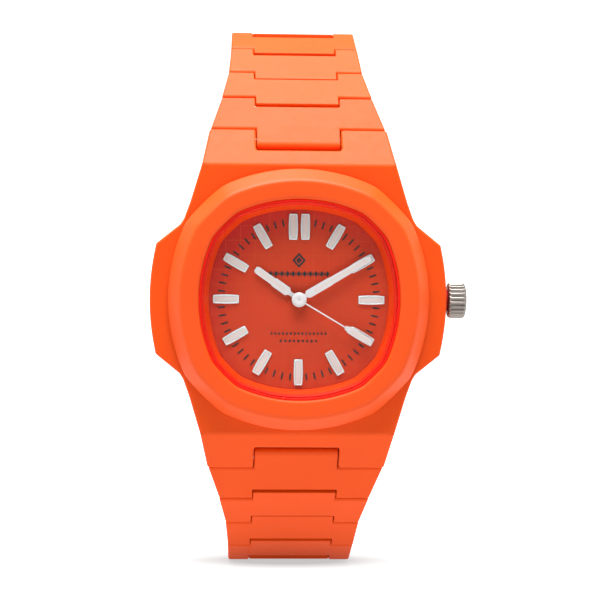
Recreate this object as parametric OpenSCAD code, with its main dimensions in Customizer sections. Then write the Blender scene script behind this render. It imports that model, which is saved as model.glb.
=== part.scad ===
// Three-hand wristwatch with an octagonal bezel and an integrated link bracelet.
// Upright frame, millimetres: +X towards the crown, +Z towards 12 o'clock, dial facing -Y.
// Origin at the centre of the case back's outer face.

/* [Head] */
// bezel half width on the 3-6-9-12 sides
bezel_main = 18.3; // [18:0.1:18.6]
// bezel half width on the diagonal sides
bezel_diag = 19.0; // [18.8:0.1:19.3]
// height of the bezel's flat top over the case back
bezel_top = 9.6; // [9.5:0.1:10.2]
// drop of the bezel's outer slope
slope_h = 2.8; // [1.5:0.1:3]
// half width of the bezel opening on the 3-6-9-12 sides
opening_main = 14.0; // [13.9:0.05:14.1]
// half width of the bezel opening on the diagonal sides
opening_diag = 14.8; // [14.7:0.05:14.9]
// height of the case front over the case back
case_front = 6.0; // [5.9:0.05:6]
// half width of the case over its side ears
ear_reach = 20.85; // [20.6:0.05:21]
// half height of an ear at its corner
ear_z = 7.73; // [7:0.1:8.2]
// distance of the front crease from the dial centre
crease_z = 18.9; // [18.6:0.05:19]

/* [Dial] */
// radius of the ring the hour markers stand on
marker_ring = 10.2; // [10:0.05:10.3]
// length of an hour marker
marker_len = 3.65; // [3:0.05:3.8]
// width of an hour marker
marker_w = 1.3; // [1:0.05:1.35]
// length of the hour hand
hour_len = 7.5; // [6.5:0.1:7.8]
// length of the minute hand
minute_len = 11.7; // [10:0.1:11.9]
// length of the second hand
second_len = 11.75; // [10:0.05:11.9]
// minute the minute hand points at
minute_shown = 9.9; // [0:0.1:59]
// second the second hand points at
second_shown = 20.1; // [0:0.1:59]

/* [Crown] */
// crown radius
crown_r = 2.55; // [2.3:0.05:2.6]
// crown length
crown_len = 2.7; // [2.2:0.1:3]
// flutes round the crown
flutes = 24; // [18:1:28]

/* [Bracelet] */
// distance between link pins
pitch = 6; // [5.98:0.01:6.02]
// link thickness
link_t = 3; // [2.9:0.05:3]
// width of a link's tongue
tongue_w = 11.9; // [11.5:0.1:11.9]
// gap between a link's wings
notch_w = 12.1; // [12.1:0.1:12.4]

/* [Hidden] */
$fn = 64;

main_off = 6.4;
diag_off = 14;
ear_curve = 33.6;
slope_in = 1.7;
ring_gap = 0.02;
back_plane = 0.6;
bore_r = 12.9;
stem_h = 3.3;
dial_t = 0.4;
dial_top = case_front + dial_t;
glass_low = 8.1;
glass_top = 9.3;
ring_t = 0.3;
spigot_r = 15.6;
screw_ring = 14.6;
ear_face = ear_reach - 0.5;
crown_x = ear_reach + 0.4;
pin_r = 0.4;
bar_r = 0.41;
bore_clear = 0.03;
end_rise = 0.72;
end_gap = 0.16;
tip_rise = 0.8;
half_t = link_t / 2;
lug_y = -1.0;
lug_z = 22.46;
notch_z = 20.91;
tilt = [36.4, 49.1, 49.4, 61.3, 86, 112, 137, 157, 170];
width = [24.9, 21.6, 19.5, 18.6, 18.2, 18, 18, 18, 18, 18];

rotor_at = [-1.95, -3.377];
inter_at = [-1.05, -1.819];
third_at = [2.944, -1.7];
minute_at = [2.078, 1.2];
battery_at = [-6.06, 3.5];
lever_at = [9.55, 2.4];
pillars = [[-3.9, -0.6], [6.9, -5.2], [-0.6, 4.9], [5.9, 4.9]];
clamp_posts = [[-9.95, -0.3], [-1.9, 6.9]];
bridge_screws = [[-3.9, -0.6], [6.9, -5.2]];

orange = [0.95, 0.36, 0.13];
steel = [0.72, 0.73, 0.75];
brass = [0.80, 0.65, 0.30];
white = [0.93, 0.93, 0.92];
dark = [0.16, 0.16, 0.17];

// Frame for the watch head: x across, y towards 12 o'clock, z away from the case back.
module head() {
    rotate([90, 0, 0]) children();
}

// Eight-sided prism with bowed sides; shrink draws the sides in over its height.
module bowed_octagon(am, ad, low, high, shrink = 0) {
    intersection_for(i = [0:7]) {
        off = i % 2 == 0 ? main_off : diag_off;
        r = (i % 2 == 0 ? am : ad) + off;
        rotate([0, 0, 45 * i]) translate([-off, 0, low])
            cylinder(r1 = r, r2 = r - shrink, h = high - low, $fn = 128);
    }
}

module ring(outer, inner, low, high) {
    difference() {
        translate([0, 0, low]) cylinder(r = outer, h = high - low);
        translate([0, 0, low - 1]) cylinder(r = inner, h = high - low + 2);
    }
}

module disc(r, low, high) {
    translate([0, 0, low]) cylinder(r = r, h = high - low);
}

module at(p) {
    translate([p[0], p[1], 0]) children();
}

// Solid of a side profile given in (Y, Z), running across the watch.
module across(points, w) {
    rotate([90, 0, 90]) linear_extrude(w, center = true) polygon(points);
}

function teeth(n, m) = [for (i = [0:n - 1]) each let (
    ri = n * m / 2 - m,
    ro = n * m / 2 + 0.7 * m,
    s = 360 / n)
    [ri * [cos(s * (i - 0.34)), sin(s * (i - 0.34))],
     ro * [cos(s * (i - 0.12)), sin(s * (i - 0.12))],
     ro * [cos(s * (i + 0.12)), sin(s * (i + 0.12))],
     ri * [cos(s * (i + 0.34)), sin(s * (i + 0.34))]]];

module gear(n, m, low, high, turn = 0) {
    translate([0, 0, low]) rotate([0, 0, turn]) linear_extrude(high - low) polygon(teeth(n, m));
}

// ---------- case ----------

// Outline of the case seen from the front.
module case_outline() {
    side = [[12.4, 24.6], [13.65, crease_z], [15.25, 13.6], [16.15, 11.3],
            [16.5, 10.6], [ear_reach - 0.85, ear_z], [22, ear_z - 1]];
    low_right = [for (i = [6:-1:0]) [side[i][0], -side[i][1]]];
    low_left = [for (p = side) [-p[0], -p[1]]];
    left = [for (i = [6:-1:0]) [-side[i][0], side[i][1]]];
    intersection() {
        polygon(concat(side, low_right, low_left, left));
        translate([ear_reach - ear_curve, 0]) circle(r = ear_curve, $fn = 128);
        translate([ear_curve - ear_reach, 0]) circle(r = ear_curve, $fn = 128);
    }
}

// Point given along and out of a link, in (Y, Z) beside the upper lug pin.
function from_lug(u, v) = [lug_y + u * sin(tilt[0]) - v * cos(tilt[0]),
                           lug_z + u * cos(tilt[0]) + v * sin(tilt[0])];

// Side profile of the case: flat front, lugs sloping back to the first pins.
module case_profile() {
    upper = [[-case_front, 0], [-case_front, crease_z], from_lug(end_rise, half_t + 0.25),
             from_lug(end_rise, -0.2), from_lug(-0.1, -half_t), [-back_plane, 17.2],
             [-back_plane, 0]];
    lower = [for (i = [5:-1:1]) [upper[i][0], -upper[i][1]]];
    across(concat(upper, lower), 50);
}

module case_middle() {
    color(orange) difference() {
        intersection() {
            case_profile();
            translate([0, 3, 0]) rotate([90, 0, 0]) linear_extrude(12) case_outline();
        }
        head() {
            disc(bore_r, -2, 9);
            disc(spigot_r + 0.05, -2, 1.0);
            ring(13.9, 13.2, 0.9, 1.5);
            for (a = [45:90:315]) rotate([0, 0, a]) translate([screw_ring, 0, 0])
                disc(0.45, 0, 3.2);
        }
        translate([10, -stem_h, 0]) rotate([0, 90, 0]) cylinder(r = 1.2, h = 12);
        translate([ear_face - 0.4, -stem_h, 0]) rotate([0, 90, 0]) cylinder(r = 1.9, h = 4);
        for (s = [-1, 1]) {
            across([for (p = [[-8, notch_z], [4, notch_z], [4, 26], [-8, 26]]) [p[0], s * p[1]]],
                   notch_w);
            translate([-11.4, lug_y, s * lug_z]) rotate([0, 90, 0])
                cylinder(r = pin_r, h = 22.8);
        }
    }
}

module lug_spring_bars() {
    color(steel) for (s = [-1, 1]) translate([0, lug_y, s * lug_z]) rotate([0, 90, 0])
        cylinder(r = pin_r, h = 22.6, center = true);
}

module bezel() {
    wall_h = bezel_top - slope_h - case_front;
    spread = slope_in * wall_h / slope_h;
    color(orange) head() difference() {
        intersection() {
            bowed_octagon(bezel_main, bezel_diag, case_front, bezel_top);
            bowed_octagon(bezel_main + spread, bezel_diag + spread, case_front, bezel_top,
                          slope_in + spread);
        }
        bowed_octagon(opening_main, opening_diag, 0, 12);
    }
}

module flange_ring() {
    color(orange) head() difference() {
        bowed_octagon(opening_main - ring_gap, opening_diag - ring_gap, dial_top, glass_low);
        bowed_octagon(opening_main - 1.4, opening_diag - 1.4, dial_top - 1, dial_top + 1);
        intersection_for(i = [0:7]) {
            off = i % 2 == 0 ? main_off : diag_off;
            r = (i % 2 == 0 ? opening_main : opening_diag) + off - 1.4;
            rotate([0, 0, 45 * i]) translate([-off, 0, dial_top + 0.3])
                cylinder(r1 = r, r2 = r + 0.9, h = glass_low + 0.1 - dial_top - 0.3, $fn = 128);
        }
    }
}

module crystal() {
    color([0.85, 0.92, 0.95, 0.4]) head()
        bowed_octagon(opening_main - ring_t, opening_diag - ring_t, glass_low, glass_top);
}

module crystal_gasket() {
    color([0.9, 0.3, 0.15]) head() difference() {
        bowed_octagon(opening_main, opening_diag, glass_low, glass_top - 0.1);
        bowed_octagon(opening_main - ring_t, opening_diag - ring_t, 0, 12);
    }
}

module dial() {
    color([0.8, 0.27, 0.15]) head() difference() {
        bowed_octagon(opening_main - ring_gap, opening_diag - ring_gap, case_front, dial_top);
        disc(1.0, 0, 12);
    }
}

module marker(len, w) {
    linear_extrude(0.3) intersection() {
        square([w + 1, len], center = true);
        translate([w / 2 - 22.2, 0]) circle(r = 22.2, $fn = 128);
        translate([22.2 - w / 2, 0]) circle(r = 22.2, $fn = 128);
    }
}

module hour_markers() {
    color(white) head() translate([0, 0, dial_top]) {
        for (i = [1:11]) rotate([0, 0, -30 * i]) translate([0, marker_ring, 0])
            marker(marker_len, marker_w);
        for (s = [-1, 1]) translate([s * 0.85, marker_ring, 0]) marker(marker_len, marker_w);
    }
}

module crown_tube() {
    color(brass) translate([0, -stem_h, 0]) rotate([0, 90, 0]) difference() {
        disc(1.2, 13.2, ear_face - 0.4);
        disc(0.45, 10, 22);
    }
}

module case_back() {
    color(steel) head() difference() {
        union() {
            disc(spigot_r, 0, 1.0);
            disc(12.6, 1.0, 1.5);
        }
        for (a = [45:90:315]) rotate([0, 0, a]) translate([screw_ring, 0, 0]) {
            disc(0.5, -1, 2);
            disc(0.85, -1, 0.5);
        }
    }
}

module case_back_gasket() {
    color(dark) head() ring(13.85, 13.25, 1.0, 1.48);
}

module case_back_screws() {
    color(steel) head() for (a = [45:90:315]) rotate([0, 0, a]) translate([screw_ring, 0, 0])
        difference() {
            union() {
                disc(0.8, 0.08, 0.5);
                disc(0.45, 0.5, 3.0);
            }
            translate([0, 0, 0.1]) cube([0.22, 2, 0.3], center = true);
        }
}

// ---------- movement ----------

module movement_holder() {
    color([0.85, 0.85, 0.82]) head() difference() {
        ring(12.85, 11.0, 1.6, 5.95);
        translate([9, 0, stem_h]) rotate([0, 90, 0]) cylinder(r = 0.45, h = 6);
    }
}

module main_plate() {
    color([0.75, 0.76, 0.72]) head() difference() {
        union() {
            disc(11.0, 4.1, 4.7);
            for (p = pillars) at(p) disc(0.45, 2.2, 4.2);
            for (p = clamp_posts) at(p) disc(0.45, 1.9, 4.2);
            at(minute_at) disc(0.15, 4.6, 5.6);
            at(lever_at) disc(0.3, 3.5, 4.2);
            translate([6.3, -0.7, 2.7]) cube([0.6, 1.4, 1.5]);
        }
        disc(0.45, 0, 9);
        translate([6, 0, stem_h]) rotate([0, 90, 0]) cylinder(r = 0.28, h = 2);
        for (p = bridge_screws) at(p) disc(0.2, 2.0, 3.2);
        for (p = clamp_posts) at(p) disc(0.2, 1.5, 3.2);
    }
}

module train_bridge() {
    color(brass) head() difference() {
        union() {
            translate([0, 0, 1.9]) linear_extrude(0.3)
                polygon([[-4.6, 0.4], [-4.6, -4.6], [2, -5.9], [7.6, -5.9], [7.6, -3.9],
                         [3.9, 1.2], [0, 1.6]]);
            at(inter_at) disc(0.2, 2.0, 2.9);
            at(third_at) disc(0.15, 2.0, 3.85);
            at(rotor_at) disc(0.15, 2.0, 2.6);
        }
        disc(0.17, 0, 4);
        for (p = bridge_screws) at(p) disc(0.25, 1, 3);
    }
}

module circuit_board() {
    color([0.15, 0.4, 0.25]) head() translate([0, 0, 1.9]) linear_extrude(0.3)
        polygon([[-1.0, 4.3], [7, 4.3], [7, 7.7], [3, 9.5], [-1.0, 9.5]]);
    color(steel) head() translate([0, 8, 2.9]) rotate([0, 90, 0]) cylinder(r = 0.7, h = 5);
}

module coil() {
    color([0.72, 0.38, 0.2]) head() translate([0, -7.8, 3.1]) rotate([0, 90, 0]) difference() {
        union() {
            translate([0, 0, -4.4]) cylinder(r = 0.95, h = 7);
            for (x = [-4.6, 2.5]) translate([0, 0, x]) cylinder(r = 1.0, h = 0.3);
        }
        translate([0, 0, -6]) cylinder(r = 0.35, h = 12);
    }
    color(steel) head() translate([-5.3, -7.8, 3.1]) rotate([0, 90, 0])
        cylinder(r = 0.35, h = 8.8);
}

module stator() {
    color(steel) head() difference() {
        translate([0, 0, 2.95]) linear_extrude(0.3)
            polygon([[-5.6, -8.3], [-4.9, -8.3], [-4.9, -6.5], [3.1, -6.5], [3.1, -8.3],
                     [3.8, -8.3], [3.8, -5.05], [-0.6, -5.05], [-0.6, -2.4], [-3.3, -2.4],
                     [-3.3, -5.0], [-5.6, -5.0]]);
        at(rotor_at) disc(0.8, 2, 5);
        translate([-5.3, -7.8, 3.1]) rotate([0, 90, 0]) cylinder(r = 0.36, h = 8.8);
    }
}

module battery() {
    color(steel) head() at(battery_at) {
        disc(3.4, 2.3, 4.1);
        disc(2.7, 1.95, 2.3);
    }
}

module battery_clamp() {
    d = clamp_posts[1] - clamp_posts[0];
    color(brass) head() translate([0, 0, 1.7]) linear_extrude(0.2) difference() {
        translate(clamp_posts[0]) rotate([0, 0, atan2(d[1], d[0])]) translate([-0.7, -0.8])
            square([norm(d) + 1.4, 1.6]);
        for (p = clamp_posts) translate(p) circle(r = 0.25);
    }
}

module movement_screws() {
    color(steel) head() {
        for (p = bridge_screws) at(p) {
            disc(0.45, 1.65, 1.9);
            disc(0.2, 1.9, 3.1);
        }
        for (p = clamp_posts) at(p) {
            disc(0.45, 1.55, 1.7);
            disc(0.2, 1.7, 3.1);
        }
    }
}

module crown() {
    color(steel) translate([crown_x, -stem_h, 0]) rotate([0, 90, 0]) difference() {
        union() {
            translate([0, 0, 0.2]) linear_extrude(crown_len - 0.4)
                polygon([for (i = [0:flutes - 1]) each let (s = 360 / flutes)
                    [(crown_r - 0.16) * [cos(s * (i - 0.32)), sin(s * (i - 0.32))],
                     crown_r * [cos(s * (i - 0.18)), sin(s * (i - 0.18))],
                     crown_r * [cos(s * (i + 0.18)), sin(s * (i + 0.18))],
                     (crown_r - 0.16) * [cos(s * (i + 0.32)), sin(s * (i + 0.32))]]]);
            cylinder(r = crown_r - 0.2, h = crown_len - 0.15);
            translate([0, 0, crown_len - 0.15]) cylinder(r1 = crown_r - 0.2, r2 = crown_r - 0.6, h = 0.15);
        }
        translate([0, 0, -1]) cylinder(r = 0.4, h = 2.2);
    }
}

module crown_gasket() {
    color([0.5, 0.05, 0.05]) translate([0, -stem_h, 0]) rotate([0, 90, 0])
        ring(1.7, 0.45, ear_face - 0.15, crown_x - 0.02);
}

module stem() {
    color(steel) translate([0, -stem_h, 0]) rotate([0, 90, 0]) {
        disc(0.25, 5.9, 7.3);
        disc(0.4, 7.3, 8.8);
        disc(0.2, 8.8, 9.4);
        disc(0.4, 9.4, crown_x + 1.2);
    }
}

module sliding_pinion() {
    color(steel) translate([0, -stem_h, 0]) rotate([0, 90, 0]) difference() {
        gear(12, 0.13, 7.75, 8.6);
        disc(0.43, 5, 10);
    }
}

module setting_lever() {
    color(steel) head() difference() {
        union() {
            at(lever_at) disc(0.6, 3.8, 4.05);
            translate([8.75, -0.1, 3.8]) cube([0.7, 2.6, 0.25]);
            translate([9.1, 0, 0]) disc(0.17, 3.55, 3.9);
        }
        at(lever_at) disc(0.33, 3, 5);
    }
}

module rotor() {
    color(steel) head() at(rotor_at) difference() {
        union() {
            disc(0.6, 2.92, 3.28);
            gear(6, 0.1, 2.62, 2.93);
        }
        disc(0.17, 2, 2.75);
    }
}

module intermediate_wheel() {
    color(brass) head() at(inter_at) difference() {
        union() {
            gear(30, 0.1, 2.68, 2.83, 0);
            gear(6, 0.12, 2.24, 2.7, 0);
        }
        disc(0.22, 1, 4);
    }
}

module second_wheel() {
    color(brass) head() {
        gear(36, 0.0967, 2.28, 2.5, 5);
        gear(8, 0.1, 2.95, 3.2, 0);
        disc(0.15, 1.95, 7.42);
    }
}

module third_wheel() {
    color(brass) head() at(third_at) difference() {
        union() {
            gear(60, 0.1, 3.0, 3.15, 0);
            gear(8, 0.0944, 3.1, 3.6, 0);
        }
        disc(0.17, 2, 5);
    }
}

module center_wheel() {
    color(brass) head() difference() {
        union() {
            gear(64, 0.0944, 3.35, 3.52, 0);
            disc(0.33, 3.35, 6.9);
        }
        disc(0.18, 2, 9);
    }
}

module cannon_pinion() {
    color(brass) head() difference() {
        union() {
            gear(12, 0.1, 4.8, 5.1, 0);
            disc(0.55, 5.1, 7.35);
        }
        disc(0.36, 4, 9);
    }
}

module minute_wheel() {
    color(brass) head() at(minute_at) difference() {
        union() {
            gear(36, 0.1, 4.85, 5.0, 0);
            gear(10, 0.096, 4.95, 5.5, 0);
        }
        disc(0.17, 4, 6);
    }
}

module hour_wheel() {
    color(brass) head() difference() {
        union() {
            gear(40, 0.096, 5.2, 5.4, 0);
            disc(0.85, 5.2, 6.95);
        }
        disc(0.58, 4, 9);
    }
}

// ---------- hands ----------

module hub(r, bore, low, high) {
    ring(r, bore, low, high);
}

module hour_hand() {
    color(white) head() {
        hub(1.0, 0.85, 6.72, 6.92);
        rotate([0, 0, -30 * (10 + minute_shown / 60)]) translate([0, 0, 6.72])
            linear_extrude(0.2) difference() {
                polygon([[-0.35, 0.5], [-0.35, 1.7], [-0.66, 1.9], [-0.66, 4.3], [-0.53, 4.3],
                         [-0.53, hour_len - 0.45], [-0.25, hour_len], [0.25, hour_len],
                         [0.53, hour_len - 0.45], [0.53, 4.3], [0.66, 4.3], [0.66, 1.9],
                         [0.35, 1.7], [0.35, 0.5]]);
                circle(r = 0.95);
            }
    }
}

module minute_hand() {
    color(white) head() {
        hub(1.0, 0.55, 7.08, 7.28);
        rotate([0, 0, -6 * minute_shown]) translate([0, 0, 7.08])
            linear_extrude(0.2) difference() {
                polygon([[-0.35, 0.5], [-0.35, 1.2], [-0.6, 1.4], [-0.6, 5], [-0.52, 5.1],
                         [-0.47, minute_len - 0.5], [-0.25, minute_len], [0.25, minute_len],
                         [0.47, minute_len - 0.5], [0.52, 5.1], [0.6, 5], [0.6, 1.4],
                         [0.35, 1.2], [0.35, 0.5]]);
                circle(r = 0.95);
            }
    }
}

module second_hand() {
    color(white) head() {
        disc(1.04, 7.42, 7.7);
        rotate([0, 0, -6 * second_shown]) translate([0, 0, 7.44]) linear_extrude(0.16)
            difference() {
                union() {
                    translate([-0.1, 0.5]) square([0.2, 8]);
                    polygon([[-0.35, 7.6], [0.35, 7.6], [0.52, 8.2], [0.48, second_len],
                             [-0.48, second_len], [-0.52, 8.2]]);
                }
                circle(r = 0.95);
            }
    }
}

// ---------- bracelet ----------

// Pin position after k links of the upper half, in (Y, Z).
function pivot(k) = k == 0 ? [lug_y, lug_z]
    : pivot(k - 1) + pitch * [sin(tilt[k - 1]), cos(tilt[k - 1])];

// One link: y along the link from its first pin, z out of the band.
module link(w0, w1, tongue) {
    bar = 16.4;
    difference() {
        union() {
            intersection() {
                linear_extrude(link_t, center = true)
                    polygon([[-w0 / 2, end_rise + end_gap], [-w1 / 2, pitch + end_rise],
                             [w1 / 2, pitch + end_rise], [w0 / 2, end_rise + end_gap]]);
                across([[0, half_t], [pitch + end_rise, half_t], [pitch + end_rise, -0.2],
                        [pitch - 0.1, -half_t], [0, -half_t]], 40);
            }
            across(tongue, tongue_w);
        }
        across([[pitch - end_rise - end_gap, 2], [pitch + 2, 2], [pitch + 2, -2],
                [pitch - end_rise - end_gap, -2]], notch_w);
        rotate([0, 90, 0]) cylinder(r = pin_r + bore_clear, h = 20, center = true);
        translate([0, pitch, 0]) rotate([0, 90, 0])
            cylinder(r = bar_r, h = bar + 0.2, center = true);
    }
    translate([0, pitch, 0]) rotate([0, 90, 0]) cylinder(r = pin_r, h = bar, center = true);
}

// Link k counted from the case; side is 1 for the 12 o'clock half, -1 for the other.
module band_link(k, side) {
    p = pivot(k - 1);
    tongue = k == 1
        ? [[-2.2, 0.9], [-2.1, 1.2], [-1.8, half_t], [1.3, half_t], [1.3, -half_t], [-0.1, -half_t],
           [-1.42, -0.3]]
        : [[-tip_rise, half_t], [1.3, half_t], [1.3, -half_t], [-0.1, -half_t], [-0.5, -0.7],
           [-0.78, -0.36], [-0.86, 0], [-tip_rise, 0.3]];
    color(orange) rotate([0, side > 0 ? 0 : 180, 0]) translate([0, p[0], p[1]])
        rotate([90 - tilt[k - 1], 0, 0]) link(width[k - 1], width[k], tongue);
}

// ---------- clasp ----------

clasp_y = pivot(9)[0];
clasp_z = pivot(9)[1];
fold_a = [clasp_y - 0.24, 13.5];
fold_b = [clasp_y + 0.26, -13.5];
inner_low = clasp_y - 1.44;
inner_high = clasp_y - 0.64;
outer_low = clasp_y - 0.24;
outer_high = clasp_y + 0.51;
cover_low = clasp_y + 1.26;
cover_high = clasp_y + 2.46;

module rod(p, r, w, x = 0) {
    translate([x, p[0], p[1]]) rotate([0, 90, 0]) cylinder(r = r, h = w, center = true);
}

module slab(y0, y1, z0, z1, w, x = 0) {
    translate([x - w / 2, y0, z0]) cube([w, y1 - y0, z1 - z0]);
}

module inner_blade() {
    color(steel) difference() {
        union() {
            slab(inner_low, inner_high, -clasp_z, 12.4, 10);
            slab(inner_low, inner_high, 12.3, fold_a[1], 5);
            slab(inner_low, clasp_y, -clasp_z, 0.75 - clasp_z, 10);
            rod([clasp_y, -clasp_z], 0.75, 11.6);
            rod(fold_a, 0.75, 5);
        }
        rod([clasp_y, -clasp_z], pin_r + bore_clear, 14);
        rod(fold_a, 0.38, 14);
    }
}

module outer_blade() {
    color(steel) difference() {
        union() {
            slab(outer_low, outer_high, -12.4, 12.4, 10);
            for (s = [-1, 1]) slab(outer_low, outer_high, 12.3, fold_a[1], 2.4, s * 3.8);
            for (s = [-1, 1]) rod(fold_a, 0.75, 2.4, s * 3.8);
            slab(outer_low, outer_high, fold_b[1], -12.3, 7);
            rod(fold_b, 0.75, 7);
        }
        rod(fold_b, 0.38, 14);
        rod(fold_a, 0.36, 9);
    }
    color(steel) rod(fold_a, 0.35, 8.8);
}

module clasp_cover() {
    color(steel) difference() {
        union() {
            slab(cover_low, cover_high, -18.9, 19.1, 18);
            slab(clasp_y - 0.4, cover_high, 16, 19.1, 11.8);
            slab(clasp_y - 0.4, cover_low + 0.2, 19, 19.7, 11.8);
            for (s = [-1, 1]) slab(clasp_y - 1.1, cover_high, -18, 18, 1.2, s * 8.4);
            for (s = [-1, 1]) slab(fold_b[0], cover_low + 0.1, fold_b[1] - 0.75,
                                   fold_b[1] + 0.75, 1.6, s * 4.4);
            for (s = [-1, 1]) rod(fold_b, 0.75, 1.6, s * 4.4);
        }
        rod(fold_b, 0.36, 10);
        for (s = [-1, 1]) slab(clasp_y - 0.35, clasp_y + 1.15, 3.9, 9.1, 3, s * 8.4);
    }
    color(steel) rod(fold_b, 0.35, 9.8);
}

module button(side) {
    color(steel) {
        slab(clasp_y - 0.25, clasp_y + 1.05, 4, 9, 2, side * 8.6);
        slab(clasp_y - 0.55, clasp_y + 1.15, 3.5, 9.5, 0.5, side * 7.45);
    }
}

module button_left() {
    button(-1);
}

module button_right() {
    button(1);
}

case_middle();
bezel();
crystal();
crystal_gasket();
flange_ring();
dial();
hour_markers();
movement_holder();
main_plate();
train_bridge();
circuit_board();
coil();
stator();
battery();
battery_clamp();
movement_screws();
crown_tube();
case_back();
case_back_gasket();
case_back_screws();
lug_spring_bars();
crown();
stem();
crown_gasket();
sliding_pinion();
setting_lever();
rotor();
intermediate_wheel();
second_wheel();
third_wheel();
center_wheel();
cannon_pinion();
minute_wheel();
hour_wheel();
hour_hand();
minute_hand();
second_hand();
band_link(1, 1);  // upper_link_1
band_link(2, 1);  // upper_link_2
band_link(3, 1);  // upper_link_3
band_link(4, 1);  // upper_link_4
band_link(5, 1);  // upper_link_5
band_link(6, 1);  // upper_link_6
band_link(7, 1);  // upper_link_7
band_link(8, 1);  // upper_link_8
band_link(9, 1);  // upper_link_9
band_link(1, -1);  // lower_link_1
band_link(2, -1);  // lower_link_2
band_link(3, -1);  // lower_link_3
band_link(4, -1);  // lower_link_4
band_link(5, -1);  // lower_link_5
band_link(6, -1);  // lower_link_6
band_link(7, -1);  // lower_link_7
band_link(8, -1);  // lower_link_8
band_link(9, -1);  // lower_link_9
clasp_cover();
outer_blade();
inner_blade();
button_left();
button_right();
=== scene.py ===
import math

import bpy
import bmesh
from mathutils import Vector, Matrix


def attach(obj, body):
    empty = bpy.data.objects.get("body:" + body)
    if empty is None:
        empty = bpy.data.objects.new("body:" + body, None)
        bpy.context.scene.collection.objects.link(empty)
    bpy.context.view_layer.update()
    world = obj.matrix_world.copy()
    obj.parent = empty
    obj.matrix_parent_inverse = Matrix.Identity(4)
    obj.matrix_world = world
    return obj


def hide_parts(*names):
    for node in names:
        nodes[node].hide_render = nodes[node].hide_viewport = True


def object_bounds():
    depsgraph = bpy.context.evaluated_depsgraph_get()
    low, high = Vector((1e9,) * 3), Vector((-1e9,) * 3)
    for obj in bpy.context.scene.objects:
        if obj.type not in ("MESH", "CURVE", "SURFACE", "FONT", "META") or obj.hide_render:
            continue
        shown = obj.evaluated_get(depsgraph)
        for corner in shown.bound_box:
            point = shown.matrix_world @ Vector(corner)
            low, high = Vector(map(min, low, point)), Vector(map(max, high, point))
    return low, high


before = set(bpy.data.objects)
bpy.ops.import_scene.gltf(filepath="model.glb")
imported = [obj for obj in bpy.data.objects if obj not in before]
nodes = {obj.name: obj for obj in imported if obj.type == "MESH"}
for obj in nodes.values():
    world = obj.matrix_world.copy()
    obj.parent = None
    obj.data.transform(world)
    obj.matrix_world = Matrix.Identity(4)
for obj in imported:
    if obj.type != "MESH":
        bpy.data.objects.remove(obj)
cad_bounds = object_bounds()
MM = 0.001

# -------------------- sizes, in millimetres

FRONT = 6.0        # case front, over the case back
DIAL = 6.4         # dial face, over the case back
BOW = (6.4, 14.0)  # how far behind the middle the octagon's main and diagonal sides have their centres
CORNER = 15.0      # how crisp the octagon's corners are
ROUND = 256        # points in each ring of the octagon and of the dial
STEM_H = 3.3       # height of the stem and crown over the case back
SCREW_RING = 14.6  # radius of the case back's screw circle
LINK_HALF = 1.5    # half the thickness of a link
END_RISE = 0.72    # how far a link's wings run past its far pin
TONGUE = 5.95      # half width of a link's tongue
NOTCH = 6.05       # half width of the notch that a tongue sits in
PRINT_SINK = 0.02  # how far the dial's print and lines start below its face
PITCH = 6.0        # pin to pin along a link
LUG_PIN = (-1.0, 22.46)     # the first link's pin, in Y and Z
TILT = [36.4, 49.1, 49.4, 61.3, 86, 112, 137, 157, 170]         # each link's slope, in degrees
WIDTH = [24.9, 21.6, 19.5, 18.6, 18.2, 18, 18, 18, 18, 18]      # of the band at each link's ends

# -------------------- materials


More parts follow.
